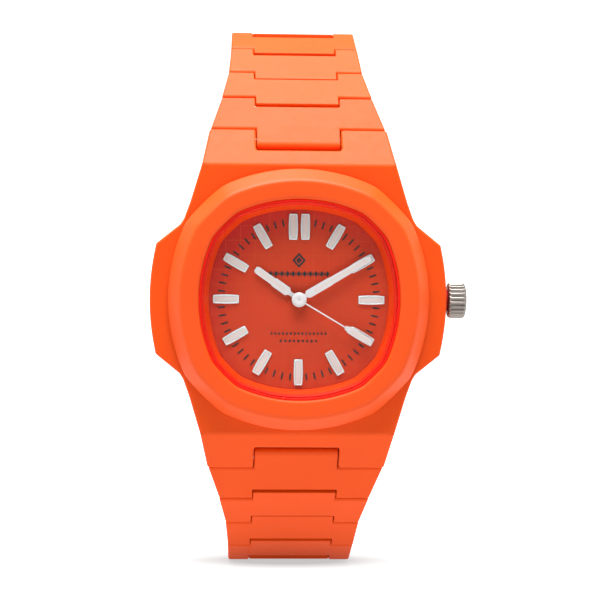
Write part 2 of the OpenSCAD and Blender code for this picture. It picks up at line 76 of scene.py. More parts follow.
class Tree:
    """A small helper that builds one Principled material from nodes."""

    def __init__(self, name, color, roughness=0.5, metallic=0.0, **sockets):
        self.mat = bpy.data.materials.new(name)
        self.mat.use_nodes = True
        self.nt = self.mat.node_tree
        self.nt.nodes.clear()
        self.out = self.node("OutputMaterial")
        self.bsdf = self.node("BsdfPrincipled")
        self.link(self.bsdf.outputs[0], self.out.inputs[0])
        self.bsdf.inputs["Base Color"].default_value = (*color, 1)
        self.bsdf.inputs["Roughness"].default_value = roughness
        self.bsdf.inputs["Metallic"].default_value = metallic
        for k, v in sockets.items():
            self.bsdf.inputs[k.replace("_", " ")].default_value = v
        self.coord = self.node("TexCoord")
        self.color = color
        self.bump_from = None

    def node(self, kind):
        return self.nt.nodes.new("ShaderNode" + kind)

    def link(self, a, b):
        self.nt.links.new(a, b)

    def mapped(self, scale):
        m = self.node("Mapping")
        m.inputs["Scale"].default_value = scale
        self.link(self.coord.outputs["Object"], m.inputs["Vector"])
        return m.outputs[0]

    def noise(self, scale, detail=3, rough=0.5, vector=None):
        n = self.node("TexNoise")
        n.inputs["Scale"].default_value = scale
        n.inputs["Detail"].default_value = detail
        n.inputs["Roughness"].default_value = rough
        self.link(vector or self.coord.outputs["Object"], n.inputs["Vector"])
        return n.outputs["Fac"]

    def ramp(self, source, low, high, a, b):
        r = self.node("MapRange")
        r.inputs["From Min"].default_value = low
        r.inputs["From Max"].default_value = high
        r.inputs["To Min"].default_value = a
        r.inputs["To Max"].default_value = b
        self.link(source, r.inputs["Value"])
        return r.outputs[0]

    def mix(self, fac, a, b):
        m = self.node("Mix")
        m.data_type = "RGBA"
        for value, i in ((a, 6), (b, 7)):
            if isinstance(value, tuple):
                m.inputs[i].default_value = (*value, 1)
            else:
                self.link(value, m.inputs[i])
        self.link(fac, m.inputs[0])
        return m.outputs[2]

    def spread(self, source, a=0, b=1):
        """A noise's usual range, 0.3 to 0.7, stretched to run from a to b."""
        return self.ramp(source, 0.3, 0.7, a, b)

    def mottled(self, source, amount):
        """The material's colour swinging a little darker and lighter with a texture."""
        dark = tuple(c * (1 - amount) for c in self.color)
        light = tuple(min(1, c * (1 + amount)) for c in self.color)
        return self.mix(self.spread(source), dark, light)

    def set_color(self, out):
        self.link(out, self.bsdf.inputs["Base Color"])

    def set_rough(self, source, a, b):
        self.link(self.spread(source, a, b), self.bsdf.inputs["Roughness"])

    def bump(self, source, strength, distance):
        n = self.node("Bump")
        n.inputs["Strength"].default_value = strength
        n.inputs["Distance"].default_value = distance
        self.link(source, n.inputs["Height"])
        if self.bump_from:
            self.link(self.bump_from, n.inputs["Normal"])
        self.bump_from = n.outputs[0]
        self.link(self.bump_from, self.bsdf.inputs["Normal"])


def soft_plastic(name, color, rough=0.5):
    """Soft-touch moulded plastic: fine grain, faint mottling, a thin velvety bloom."""
    t = Tree(name, color, rough, Sheen_Weight=0.01, Sheen_Roughness=0.45)
    t.bsdf.inputs["Specular IOR Level"].default_value = 0.16
    t.bsdf.inputs["Sheen Tint"].default_value = (1.0, 0.72, 0.55, 1)
    fine = t.noise(5200, 2, 0.6)
    mid = t.noise(900, 3, 0.55)
    broad = t.noise(90, 2, 0.5)
    grain = tuple(min(1, c * 0.9 + 0.012) for c in color)
    mottled = t.mottled(broad, 0.03)
    t.set_color(t.mix(t.ramp(fine, 0.35, 0.8, 0, 0.10), mottled, grain))
    t.set_rough(mid, rough - 0.02, rough + 0.05)
    t.bump(fine, 0.25, 0.000012)
    t.bump(mid, 0.08, 0.00002)
    return t.mat


def steel(name, color=(0.62, 0.62, 0.61), rough=0.3, along="z", streak=2600, depth=0.000004):
    """Brushed steel: fine streaks along one axis, in colour, roughness and relief."""
    t = Tree(name, color, rough, 1.0)
    scale = {"x": (0.03, 1, 1), "z": (1, 1, 0.03), "n": (1, 1, 1)}[along]
    v = t.mapped(scale)
    streaks = t.noise(streak, 4, 0.65, v)
    smudge = t.noise(160, 3, 0.5)
    t.set_color(t.mottled(streaks, 0.10))
    t.set_rough(streaks, rough - 0.07, rough + 0.1)
    t.bump(streaks, 0.4, depth)
    t.bump(smudge, 0.05, 0.00002)
    return t.mat


def ringed_steel(name, color=(0.45, 0.45, 0.44), rough=0.28):
    """Steel turned on a lathe about Y: fine concentric lines."""
    t = Tree(name, color, rough, 1.0)
    sep = t.node("SeparateXYZ")
    t.link(t.coord.outputs["Object"], sep.inputs[0])
    flat = t.node("CombineXYZ")
    t.link(sep.outputs["X"], flat.inputs["X"])
    t.link(sep.outputs["Z"], flat.inputs["Z"])
    length = t.node("VectorMath")
    length.operation = "LENGTH"
    t.link(flat.outputs[0], length.inputs[0])
    radial = t.node("CombineXYZ")
    t.link(length.outputs["Value"], radial.inputs["X"])
    rings = t.noise(9000, 4, 0.7, radial.outputs[0])
    t.set_color(t.mottled(rings, 0.10))
    t.set_rough(rings, rough - 0.06, rough + 0.10)
    t.bump(rings, 0.5, 0.000004)
    t.bump(t.noise(220, 3), 0.05, 0.00002)
    return t.mat


def plain(name, color, rough=0.5, metallic=0.0, grain=2500, amount=0.08):
    """An even surface with a fine grain and faint mottling."""
    t = Tree(name, color, rough, metallic)
    n = t.noise(grain, 3, 0.55)
    w = t.noise(120, 2, 0.5)
    t.set_color(t.mottled(w, amount))
    t.set_rough(n, max(0.03, rough - 0.06), min(1, rough + 0.08))
    t.bump(n, 0.3, 0.00001)
    return t.mat


def ledge_plastic_painted_shade(name, color, painted_shade_color, height):
    """Moulded ring whose ledge, above a height over the case back, is painted shade: a darker red that
    stands in for the shadow inside the bezel.
    """
    t = Tree(name, color, 0.45)
    sep = t.node("SeparateXYZ")
    t.link(t.coord.outputs["Object"], sep.inputs[0])
    broad = t.noise(120, 2, 0.5)
    shade = t.mottled(broad, 0.04)
    # painted shade: just above that height the colour turns to the darker red
    t.set_color(t.mix(t.ramp(sep.outputs["Y"], -height - 0.0002, -height, 1, 0), shade, painted_shade_color))
    fine = t.noise(2500, 3, 0.55)
    t.set_rough(fine, 0.39, 0.53)
    t.bump(fine, 0.3, 0.00001)
    return t.mat


def lacquer(name, color, painted_shade_color):
    """Dial lacquer with painted shade: a darker red towards the upper left rim, growing with distance from
    a point at lower right, in place of the shadow the bezel and flange cast on the dial.
    """
    t = Tree(name, color, 0.48)
    away = t.node("VectorMath")
    away.operation = "DISTANCE"
    t.link(t.coord.outputs["Object"], away.inputs[0])
    away.inputs[1].default_value = (0.002, -0.0064, -0.003)
    broad = t.noise(120, 2, 0.5)
    shade = t.mottled(broad, 0.05)
    # painted shade: between 11.5 and 16.5 mm from that point the colour turns to the darker red
    t.set_color(t.mix(t.ramp(away.outputs["Value"], 0.0115, 0.0165, 0, 1), shade, painted_shade_color))
    fine = t.noise(6000, 3, 0.55)
    t.set_rough(fine, 0.42, 0.56)
    t.bump(fine, 0.3, 0.000006)
    return t.mat


ORANGE = (0.66, 0.060, 0.000)
mats = {
    "orange": soft_plastic("orange_soft_touch", ORANGE),
    "bezel": soft_plastic("orange_bezel", ORANGE),
    # painted shade: the flange's ledge is coloured a darker red in place of the shadow inside the bezel
    "flange": ledge_plastic_painted_shade("orange_flange_painted_shade", (0.70, 0.042, 0.000), (0.70, 0.016, 0.003), 0.0076),
    # painted shade: the seal is a real ring, but its dark crimson stands in for the shadow inside the
    # bezel's opening
    "seal": plain("seal_rubber", (0.76, 0.010, 0.004), 0.5),
    # painted shade: the dial turns a darker red towards its upper left rim in place of the bezel's and
    # flange's shadow
    "dial": lacquer("dial_lacquer_painted_shade", (0.49, 0.042, 0.012), (0.44, 0.018, 0.012)),
    "grid": plain("dial_grid_line", (0.53, 0.054, 0.016), 0.45, grain=6000),
    "ink": plain("black_print", (0.005, 0.004, 0.004), 0.6, amount=0.3),
    "marker": plain("marker_metal", (0.60, 0.70, 0.70), 0.32, 0.15, amount=0.06),
    "lume": plain("luminous_inlay", (0.57, 0.51, 0.485), 0.62, grain=9000, amount=0.05),
    "hand": plain("hand_white", (0.57, 0.565, 0.57), 0.36, grain=4000, amount=0.04),
    "crown": steel("crown_steel", (0.25, 0.225, 0.205), 0.44, "x"),
    # the crown's seal collar is a real part; its dark red is painted shade, standing in for the shadowed
    # orange round the crown
    "neck": plain("seal_painted_shade_red", (0.50, 0.016, 0.014), 0.40, amount=0.15),
    "brushed": steel("steel_brushed", (0.42, 0.42, 0.415), 0.33, "z"),
    "turned": ringed_steel("steel_turned"),
    "polished": steel("steel_polished", (0.50, 0.50, 0.495), 0.17, "n", 900, 0.000002),
    "brass": steel("brass_satin", (0.72, 0.52, 0.22), 0.32, "n", 1800, 0.000003),
    "plate": ringed_steel("plate_satin", (0.60, 0.61, 0.60), 0.34),
    "holder": plain("holder_plastic", (0.62, 0.62, 0.58), 0.55),
    "board": plain("board_green", (0.02, 0.12, 0.05), 0.35, grain=1500, amount=0.15),
    "copper": steel("coil_copper", (0.70, 0.30, 0.12), 0.32, "n", 4200, 0.000006),
    "black": plain("gasket_black", (0.02, 0.02, 0.02), 0.6, amount=0.2),
}
SPECULAR = {"bezel": 0.24, "dial": 0.12, "flange": 0.12, "grid": 0.12, "seal": 0.12}
for name, level in SPECULAR.items():
    mats[name].node_tree.nodes["Principled BSDF"].inputs["Specular IOR Level"].default_value = level
glass = Tree("crystal", (0.05, 0.055, 0.06), 0.03)
glass.bsdf.inputs["Alpha"].default_value = 0.025
glass.set_rough(glass.noise(300, 2), 0.02, 0.05)
mats["glass"] = glass.mat

# -------------------- mesh helpers


def add_object(name, data):
    obj = bpy.data.objects.new(name, data)
    bpy.context.scene.collection.objects.link(obj)
    return obj


def mesh_of(verts, faces, name="scratch", weld=False):
    """A mesh of points in millimetres; weld joins those that coincide."""
    mesh = bpy.data.meshes.new(name)
    mesh.from_pydata([tuple(c * MM for c in v) for v in verts], [], faces)
    bm = bmesh.new()
    bm.from_mesh(mesh)
    if weld:
        bmesh.ops.remove_doubles(bm, verts=bm.verts, dist=1e-7)
    bmesh.ops.recalc_face_normals(bm, faces=bm.faces)
    bm.to_mesh(mesh)
    bm.free()
    return mesh


def piece(name, verts, faces, mat, body, replaces=(), smooth=True, weighted=True, slot=None):
    """A mesh in millimetres in the row frame, riding on a body."""
    mesh = mesh_of(verts, faces, name, weld=True)
    return finish_piece(name, mesh, mat, body, replaces, smooth, weighted, slot)


def finish_piece(name, mesh, mat, body, replaces=(), smooth=True, weighted=True, slot=None,
                 bevel=0.0, segments=3, angle=28):
    """An object of a mesh: its material, rounded edges, shading normals and body; slot is not used."""
    obj = add_object(name, mesh)
    mesh.materials.clear()
    mesh.materials.append(mats[mat])
    for p in mesh.polygons:
        p.use_smooth = smooth
    if bevel:
        b = obj.modifiers.new("edges", "BEVEL")
        b.width = bevel * MM
        b.segments = segments
        b.limit_method = "ANGLE"
        b.angle_limit = math.radians(angle)
        b.use_clamp_overlap = False
        b.miter_outer = "MITER_ARC"
    if weighted:
        w = obj.modifiers.new("normals", "WEIGHTED_NORMAL")
        w.keep_sharp = False
        w.weight = 80
    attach(obj, body)
    if replaces:
        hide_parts(*replaces)
    return obj


def loft(rings, closed=False, caps=(False, False)):
    """Quads between rings of equal length; closed joins the last ring to the first."""
    n = len(rings[0])
    verts = [v for r in rings for v in r]
    faces = []
    for i in range(len(rings) if closed else len(rings) - 1):
        j = (i + 1) % len(rings)
        for k in range(n):
            m = (k + 1) % n
            faces.append((i * n + k, i * n + m, j * n + m, j * n + k))
    if caps[0]:
        faces.append(tuple(range(n))[::-1])
    if caps[1]:
        faces.append(tuple((len(rings) - 1) * n + k for k in range(n)))
    return verts, faces


def join(*parts):
    """Several (verts, faces) pairs as one."""
    verts, faces = [], []
    for v, f in parts:
        base = len(verts)
        verts += v
        faces += [tuple(i + base for i in face) for face in f]
    return verts, faces


def head(x, z, h):
    """Point given across, up and out from the case back."""
    return (x, -h, z)


def octagon_r(a, am, ad):
    """Radius at angle a of the octagon, am out to its main sides and ad to its diagonal ones.

    The sides are arcs, and a soft minimum of the eight eases the corners between them."""
    sides = []
    for i in range(8):
        off = BOW[i % 2]
        r = (am, ad)[i % 2] + off
        d = a - i * math.pi / 4
        sides.append(-off * math.cos(d) + math.sqrt(max(0, r * r - (off * math.sin(d)) ** 2)))
    low = min(sides)
    total = sum(math.exp(-CORNER * (t - low)) for t in sides)
    return low - math.log(total) / CORNER


def octagon_ring(am, ad, h):
    out = []
    for k in range(ROUND):
        a = 2 * math.pi * k / ROUND
        r = octagon_r(a, am, ad)
        out.append(head(r * math.cos(a), r * math.sin(a), h))
    return out


def circle_ring(r, h, n, at=(0, 0)):
    return [head(at[0] + r * math.cos(2 * math.pi * k / n), at[1] + r * math.sin(2 * math.pi * k / n), h)
            for k in range(n)]


def x_ring(x, r, at, n):
    """Circle about an axis along X; at is the axis's place in the other two directions."""
    return [(x, at[0] + r * math.cos(2 * math.pi * k / n), at[1] + r * math.sin(2 * math.pi * k / n))
            for k in range(n)]


def rounded(points, radii, segs):
    """2-D polygon with its corners rounded."""
    out = []
    n = len(points)
    for i, p in enumerate(points):
        r = radii[i]
        if not r:
            out.append(tuple(p))
            continue
        p = Vector(p)
        a = (Vector(points[i - 1]) - p).normalized()
        b = (Vector(points[(i + 1) % n]) - p).normalized()
        half = math.acos(max(-1, min(1, a.dot(b)))) / 2
        back = r / math.tan(half)
        start, end = p + a * back, p + b * back
        centre = p + (a + b).normalized() * (r / math.sin(half))
        s, e = start - centre, end - centre
        sweep = math.atan2(s.x * e.y - s.y * e.x, s.dot(e))
        for k in range(segs + 1):
            t = sweep * k / segs
            out.append((centre.x + s.x * math.cos(t) - s.y * math.sin(t),
                        centre.y + s.x * math.sin(t) + s.y * math.cos(t)))
    return out


def prism(points, low, high, place):
    """Closed prism of a 2-D polygon; place(a, b, c) puts a point in the row frame."""
    n = len(points)
    verts = [place(a, b, low) for a, b in points] + [place(a, b, high) for a, b in points]
    faces = [tuple(range(n))[::-1], tuple(range(n, 2 * n))]
    faces += [(k, (k + 1) % n, n + (k + 1) % n, n + k) for k in range(n)]
    return verts, faces


def carve(base, steps):
    """Booleans in turn on a mesh: steps are (operation, mesh)."""
    obj = add_object("scratch", base)
    for op, mesh in steps:
        tool = add_object("scratch_tool", mesh)
        m = obj.modifiers.new("cut", "BOOLEAN")
        m.operation = op
        m.solver = "EXACT"
        m.object = tool
        bpy.context.view_layer.update()
        deps = bpy.context.evaluated_depsgraph_get()
        result = bpy.data.meshes.new_from_object(obj.evaluated_get(deps))
        obj.modifiers.clear()
        obj.data = result
        bpy.data.objects.remove(tool)
    mesh = obj.data
    bpy.data.objects.remove(obj)
    bm = bmesh.new()
    bm.from_mesh(mesh)
    bmesh.ops.remove_doubles(bm, verts=bm.verts, dist=2e-6)
    bmesh.ops.dissolve_limit(bm, angle_limit=math.radians(0.5), verts=bm.verts, edges=bm.edges)
    bm.to_mesh(mesh)
    bm.free()
    return mesh


def tube(r, low, high, place, n):
    """Closed round bar of radius r; as a cut it is a bore."""
    pts = [(r * math.cos(2 * math.pi * k / n), r * math.sin(2 * math.pi * k / n)) for k in range(n)]
    return prism(pts, low, high, place)


def place_x(a, b, c):
    """Side profile in (Y, Z), running along X."""
    return (c, a, b)


def place_stem(a, b, c):
    """Profile about the stem's axis, running along X."""
    return (c, a - STEM_H, b)


# -------------------- bezel, dial, crystal


def bezel():
    """Bowed octagonal ring, its section given as (main half width, diagonal half width, height)."""
    rows = [(14.0, 14.8, 6.0), (18.05, 18.75, 6.0), (18.22, 18.92, 6.05), (18.3, 19.0, 6.2),
            (18.3, 19.0, 6.5), (18.29, 18.99, 6.68), (18.24, 18.94, 6.86), (18.15, 18.86, 7.04),
            (17.98, 18.70, 7.32), (16.92, 17.68, 9.07), (16.80, 17.56, 9.26),
            (16.66, 17.42, 9.43), (16.49, 17.26, 9.545), (16.28, 17.06, 9.59),
            (16.05, 16.83, 9.6), (14.62, 15.42, 9.6), (14.40, 15.20, 9.59), (14.22, 15.02, 9.54),
            (14.09, 14.89, 9.44), (14.02, 14.82, 9.30), (14.0, 14.8, 9.12), (14.0, 14.8, 8.6),
            (14.0, 14.8, 7.2)]
    v, f = loft([octagon_ring(*row) for row in rows], closed=True)
    piece("bezel_shell", v, f, "bezel", "case", ("bezel",), slot="orange_plastic")


def flange():
    """Sloping ring round the dial, and the crystal's seal above it."""
    rows = [(13.98, 14.78, 6.42), (12.62, 13.42, 6.42), (12.58, 13.38, 6.50), (12.60, 13.40, 6.66),
            (12.66, 13.46, 6.78), (13.32, 14.12, 7.86), (13.40, 14.20, 7.98), (13.50, 14.30, 8.06),
            (13.98, 14.78, 8.08)]
    v, f = loft([octagon_ring(*row) for row in rows], closed=True)
    piece("flange_slope", v, f, "flange", "case", ("flange_ring",), slot="flange_plastic")
    # the seal's dark crimson is painted shade of the bezel's inner wall
    rows = [(13.99, 14.79, 8.1), (13.99, 14.79, 9.12), (13.94, 14.74, 9.17), (13.78, 14.58, 9.17),
            (13.72, 14.52, 9.12), (13.72, 14.52, 8.1)]
    v, f = loft([octagon_ring(*row) for row in rows], closed=True)
    piece("crystal_seal", v, f, "seal", "case", ("crystal_gasket",), slot="seal_rubber")


def crystal():
    """Flat crystal with eased edges."""
    rows = [(12.9, 13.7, 8.11), (13.62, 14.42, 8.11), (13.69, 14.49, 8.18), (13.69, 14.49, 9.16),
            (13.56, 14.36, 9.29), (13.2, 14.0, 9.3)]
    v, f = loft([octagon_ring(*row) for row in rows], caps=(True, True))
    piece("crystal_pane", v, f, "glass", "case", ("crystal",), slot="crystal_glass")


def dial():
    """Dial plate with a pipe hole in the middle, its raised grid, and what is printed on it."""
    rows = [circle_ring(r, h, ROUND) for r, h in
            ((1.0, 6.02), (1.0, 6.36), (1.05, DIAL), (3.0, DIAL), (6.0, DIAL), (9.0, DIAL))]
    rows += [octagon_ring(11.4, 12.2, DIAL), octagon_ring(13.85, 14.65, DIAL),
             octagon_ring(13.95, 14.75, 6.34), octagon_ring(13.95, 14.75, 6.02)]
    v, f = loft(rows, closed=True)
    piece("dial_plate", v, f, "dial", "case", ("dial",), slot="dial_paint")
    # raised square grid, clipped to the dial opening and kept off the middle
    parts = []
    pitch, half = 2.06, 0.045
    low, high = DIAL - PRINT_SINK, DIAL + 0.022
    last, clear = 12.0, 1.3     # the farthest line's offset, and the radius kept free in the middle

    def strip(x0, z0, x1, z1):
        if x0 == x1:
            pts = [(x0 - half, z0), (x0 + half, z0), (x0 + half, z1), (x0 - half, z1)]
        else:
            pts = [(x0, z0 - half), (x1, z0 - half), (x1, z0 + half), (x0, z0 + half)]
        parts.append(prism(pts, low, high, head))

    def edge(d):
        """How far a line at offset d runs before it meets the flange's foot."""
        best = 0
        for k in range(400):
            t = 13.5 * k / 400
            if math.hypot(d, t) < octagon_r(math.atan2(t, d), 12.45, 13.25):
                best = t
        return best

    for i in range(-6, 7):
        d = i * pitch
        if abs(d) > last:
            continue
        reach = edge(abs(d))
        gap = math.sqrt(max(0, clear ** 2 - d * d))
        for s in (-1, 1):
            strip(d, s * gap, d, s * reach)
            strip(s * gap, d, s * reach, d)
    v, f = join(*parts)
    g = piece("dial_grid", v, f, "grid", "case", smooth=False, weighted=False)
    # printed minute ticks, none where a marker is
    parts = []
    near, far, side = 10.4, 11.4, 0.115
    for k in range(60):
        if k % 5 == 0:
            continue
        a = math.radians(90 - 6 * k)
        u, w = (math.cos(a), math.sin(a)), (-math.sin(a), math.cos(a))
        pts = [(near, -side), (far, -side), (far, side), (near, side)]
        parts.append(prism([(p * u[0] + q * w[0], p * u[1] + q * w[1]) for p, q in pts],
                           DIAL - PRINT_SINK, DIAL + 0.03, head))
    v, f = join(*parts)
    t = piece("minute_ticks", v, f, "ink", "case", smooth=False, weighted=False)
    # a plain emblem and a row of lozenges under 12, and two rows of small ones above 6
    parts = []

    def lozenge(cx, cz, rx, rz, k):
        """An outline; k is the size of its opening against the whole."""
        out = [(cx, cz + rz), (cx + rx, cz), (cx, cz - rz), (cx - rx, cz)]
        inn = [(cx + (x - cx) * k, cz + (z - cz) * k) for x, z in out]
        for i in range(4):
            j = (i + 1) % 4
            parts.append(prism([out[i], out[j], inn[j], inn[i]], DIAL - PRINT_SINK, DIAL + 0.035,
                               head))

    def spot(x, z, rx, rz):
        pts = rounded([(x, z + rz), (x + rx, z), (x, z - rz), (x - rx, z)], [0.03] * 4, 2)
        parts.append(prism(pts, DIAL - PRINT_SINK, DIAL + 0.03, head))

    lozenge(0, 5.5, 0.95, 1.05, 0.62)
    spot(0, 5.5, 0.40, 0.46)
    for i in range(11):
        x = (i - 5) * 0.80
        spot(x, 3.6, 0.30, 0.44)
        if i < 10:
            spot(x + 0.40, 3.6, 0.08, 0.44)
    for z, count, step, rx, rz in ((-4.75, 15, 0.54, 0.17, 0.26), (-5.8, 9, 0.62, 0.20, 0.24)):
        for i in range(count):
            spot((i - (count - 1) / 2) * step, z, rx, rz)
    v, f = join(*parts)
    e = piece("dial_emblem", v, f, "ink", "case", smooth=False, weighted=False)


def barrel(w0, w1, length, inset):
    """Closed outline of a barrel-sided bar, w0 wide in the middle and w1 at the ends."""
    half = length / 2 - inset
    n, corner = 7, 0.07
    right = []
    for k in range(n):
        t = -1 + 2 * k / (n - 1)
        w = (w0 + (w1 - w0) * t * t) / 2 - inset
        right.append((w, t * half))
    pts = [(right[0][0] - corner, -half), (right[0][0], -half + corner)] + right[1:-1]
    pts += [(right[-1][0], half - corner), (right[-1][0] - corner, half)]
    return pts + [(-x, z) for x, z in reversed(pts)]


def turned(points, angle, dx=0.0, dz=0.0):
    """Points moved by (dx, dz), then turned clockwise by an angle in degrees."""
    a = math.radians(angle)
    return [((x + dx) * math.cos(a) + (z + dz) * math.sin(a),
             -(x + dx) * math.sin(a) + (z + dz) * math.cos(a)) for x, z in points]


def markers():
    """A bar at each hour and two at 12: a metal frame with a pale inlay."""
    frames, lumes = [], []
    spots = [(30 * k, 0.0) for k in range(1, 12)] + [(0, -0.85), (0, 0.85)]
    for angle, dx in spots:
        def ring(inset, h):
            return [head(x, z, h) for x, z in turned(barrel(1.3, 1.14, 3.65, inset), angle, dx, 10.2)]
        rows = [ring(0.0, DIAL), ring(0.0, DIAL + 0.20), ring(0.03, DIAL + 0.26),
                ring(0.08, DIAL + 0.29), ring(0.15, DIAL + 0.29), ring(0.19, DIAL + 0.26),
                ring(0.22, DIAL + 0.20), ring(0.22, DIAL + 0.12)]
        frames.append(loft(rows, caps=(True, True)))
        rows = [ring(0.225, DIAL + 0.13), ring(0.225, DIAL + 0.215), ring(0.27, DIAL + 0.245),
                ring(0.34, DIAL + 0.255)]
        lumes.append(loft(rows, caps=(True, True)))
    v, f = join(*frames)
    piece("marker_frames", v, f, "marker", "case", ("hour_markers",), slot="marker_metal")
    v, f = join(*lumes)
    m = piece("marker_inlays", v, f, "lume", "case")


# -------------------- hands


def inset_outline(pts, d):
    """Moves an outline inwards by d."""
    n = len(pts)
    area = sum(pts[i][0] * pts[(i + 1) % n][1] - pts[(i + 1) % n][0] * pts[i][1] for i in range(n))
    sign = 1 if area > 0 else -1
    out = []
    for i in range(n):
        p, q, r = Vector(pts[i - 1]), Vector(pts[i]), Vector(pts[(i + 1) % n])
        a, b = (q - p).normalized(), (r - q).normalized()
        na, nb = Vector((-a.y, a.x)) * sign, Vector((-b.y, b.x)) * sign
        m = (na + nb)
        m = m / max(0.25, m.length_squared / 2)
        out.append((q.x + m.x * d, q.y + m.y * d))
    return out


def slab_rings(pts, low, high, angle, edge=0.04):
    """Flat blade with eased edges, turned to its place."""
    rows = []
    for inset, h in ((edge, low), (0, low + edge), (0, high - edge * 1.4), (edge, high)):
        p = inset_outline(pts, inset) if inset else pts
        rows.append([head(x, z, h) for x, z in turned(p, angle)])
    return loft(rows, caps=(True, True))


def hub_rings(r, bore, low, high):
    """Washer at a hand's root, eased at both rims."""
    rows = ((bore, low), (r - 0.03, low), (r, low + 0.03), (r, high - 0.06), (r - 0.06, high),
            (bore, high))
    return loft([circle_ring(r, h, 64) for r, h in rows], closed=True)


def hands():
    """The three hands with their inlays, at about 10:10 and 20 seconds."""
    minute, second = 9.9, 20.1
    hour = 30 * (10 + minute / 60)
    neck = [(-0.31, 0.9), (-0.31, 1.62), (-0.64, 1.95), (-0.64, 4.25), (-0.53, 4.36),
            (-0.53, 7.12), (-0.36, 7.46), (0.36, 7.46), (0.53, 7.12), (0.53, 4.36), (0.64, 4.25),
            (0.64, 1.95), (0.31, 1.62), (0.31, 0.9)]
    v, f = join(hub_rings(1.0, 0.86, 6.72, 6.92), slab_rings(neck, 6.73, 6.91, hour))
    piece("hour_hand_body", v, f, "hand", "hours", ("hour_hand",), slot="hand_white")
    lume = rounded([(-0.28, 2.4), (0.28, 2.4), (0.28, 6.6), (0, 6.95), (-0.28, 6.6)],
                   [0.08, 0.08, 0.1, 0.1, 0.1], 3)
    v, f = slab_rings(lume, 6.88, 6.925, hour, 0.015)
    p = piece("hour_hand_inlay", v, f, "lume", "hours")
    blade = [(-0.31, 0.9), (-0.31, 1.2), (-0.58, 1.45), (-0.58, 5.0), (-0.53, 5.12),
             (-0.47, 11.2), (-0.22, 11.66), (0.22, 11.66), (0.47, 11.2), (0.53, 5.12),
             (0.58, 5.0), (0.58, 1.45), (0.31, 1.2), (0.31, 0.9)]
    v, f = join(hub_rings(1.0, 0.56, 7.08, 7.28), slab_rings(blade, 7.09, 7.27, 6 * minute))
    piece("minute_hand_body", v, f, "hand", "minutes", ("minute_hand",), slot="hand_white")
    lume = rounded([(-0.26, 2.4), (0.26, 2.4), (0.23, 10.8), (0, 11.15), (-0.23, 10.8)],
                   [0.08, 0.08, 0.1, 0.1, 0.1], 3)
    v, f = slab_rings(lume, 7.24, 7.285, 6 * minute, 0.015)
    p = piece("minute_hand_inlay", v, f, "lume", "minutes")
    shaft = [(-0.10, 0.9), (-0.095, 7.62), (0.095, 7.62), (0.10, 0.9)]
    block = [(-0.33, 7.55), (-0.33, 7.95), (-0.50, 8.1), (-0.46, 11.68), (0.46, 11.68), (0.50, 8.1),
             (0.33, 7.95), (0.33, 7.55)]
    boss = loft([circle_ring(r, h, 64) for r, h in
                 ((0.03, 7.42), (1.0, 7.42), (1.04, 7.46), (1.04, 7.56), (0.99, 7.62), (0.80, 7.64),
                  (0.76, 7.69), (0.68, 7.7), (0.24, 7.7), (0.20, 7.67), (0.03, 7.66))],
                caps=(True, True))
    v, f = join(boss, slab_rings(shaft, 7.45, 7.59, 6 * second, 0.025),
                slab_rings(block, 7.45, 7.59, 6 * second, 0.03))
    piece("second_hand_body", v, f, "hand", "seconds", ("second_hand",), slot="hand_white")
    lume = [(-0.29, 8.35), (0.29, 8.35), (0.27, 11.4), (-0.27, 11.4)]
    v, f = slab_rings(lume, 7.57, 7.605, 6 * second, 0.012)
    p = piece("second_hand_inlay", v, f, "lume", "seconds")
    pin = loft([circle_ring(r, h, 32) for r, h in
                ((0.02, 7.66), (0.14, 7.66), (0.14, 7.685), (0.10, 7.695), (0.02, 7.698))],
               caps=(True, True))
    p = piece("second_hand_pin", *pin, "polished", "seconds")


bezel()
flange()
crystal()
dial()
markers()
hands()

# -------------------- case


def from_lug(u, v):
    """Side view point given along and across the first link, from the lug's pin."""
    a = math.radians(TILT[0])
    return (LUG_PIN[0] + u * math.sin(a) - v * math.cos(a), LUG_PIN[1] + u * math.cos(a) + v * math.sin(a))


